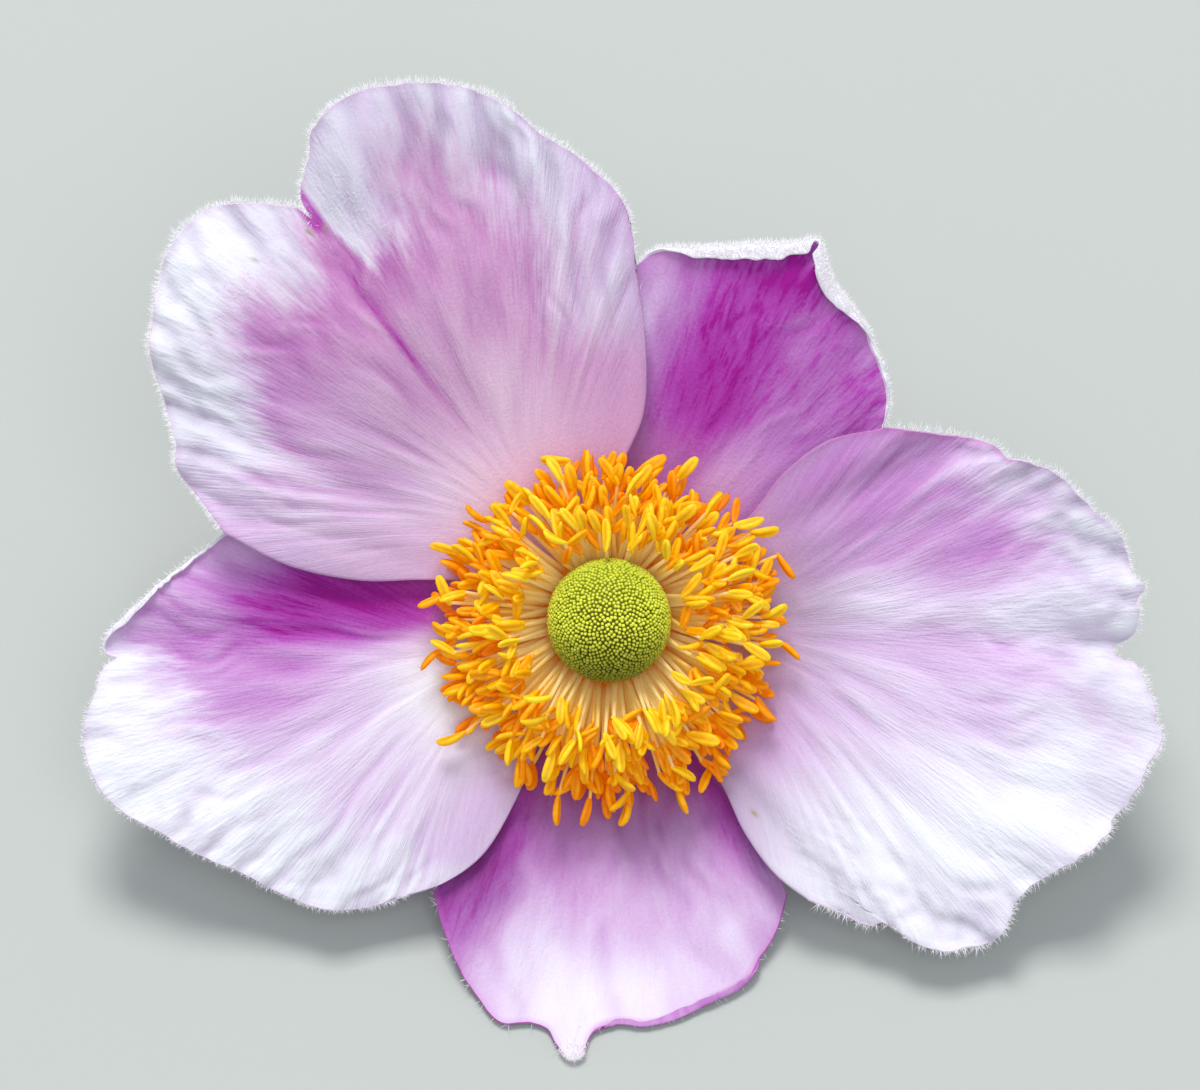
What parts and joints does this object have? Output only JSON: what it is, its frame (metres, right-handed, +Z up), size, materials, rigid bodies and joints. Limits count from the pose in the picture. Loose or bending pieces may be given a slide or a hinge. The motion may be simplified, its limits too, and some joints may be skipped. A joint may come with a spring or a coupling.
{
  "type": "japanese anemone flower",
  "caption": "Open Japanese anemone flower, picked with a short stalk: broad waved tepals in layers round a ring of stamens and a round carpel head.",
  "frame": {"origin": "on the surface that the flower lies on, under the middle of its whole box", "axes": "+X to the right across the face, +Y away from the viewer towards the cut end of the stalk, +Z up from the surface"},
  "size_m": [0.067, 0.064, 0.0316],
  "materials": {
    "tepal": "matte",
    "tepal_dark": "matte",
    "carpels": "matte",
    "stamens": "matte",
    "stalk": "matte"
  },
  "bodies": {
    "root": {"tepal_right": "tepal", "tepal_top": "tepal_dark", "tepal_top_left": "tepal", "tepal_left": "tepal", "tepal_bottom": "tepal", "carpel_head": "carpels", "stamens": "stamens", "stalk": "stalk"}
  },
  "joints": []
}
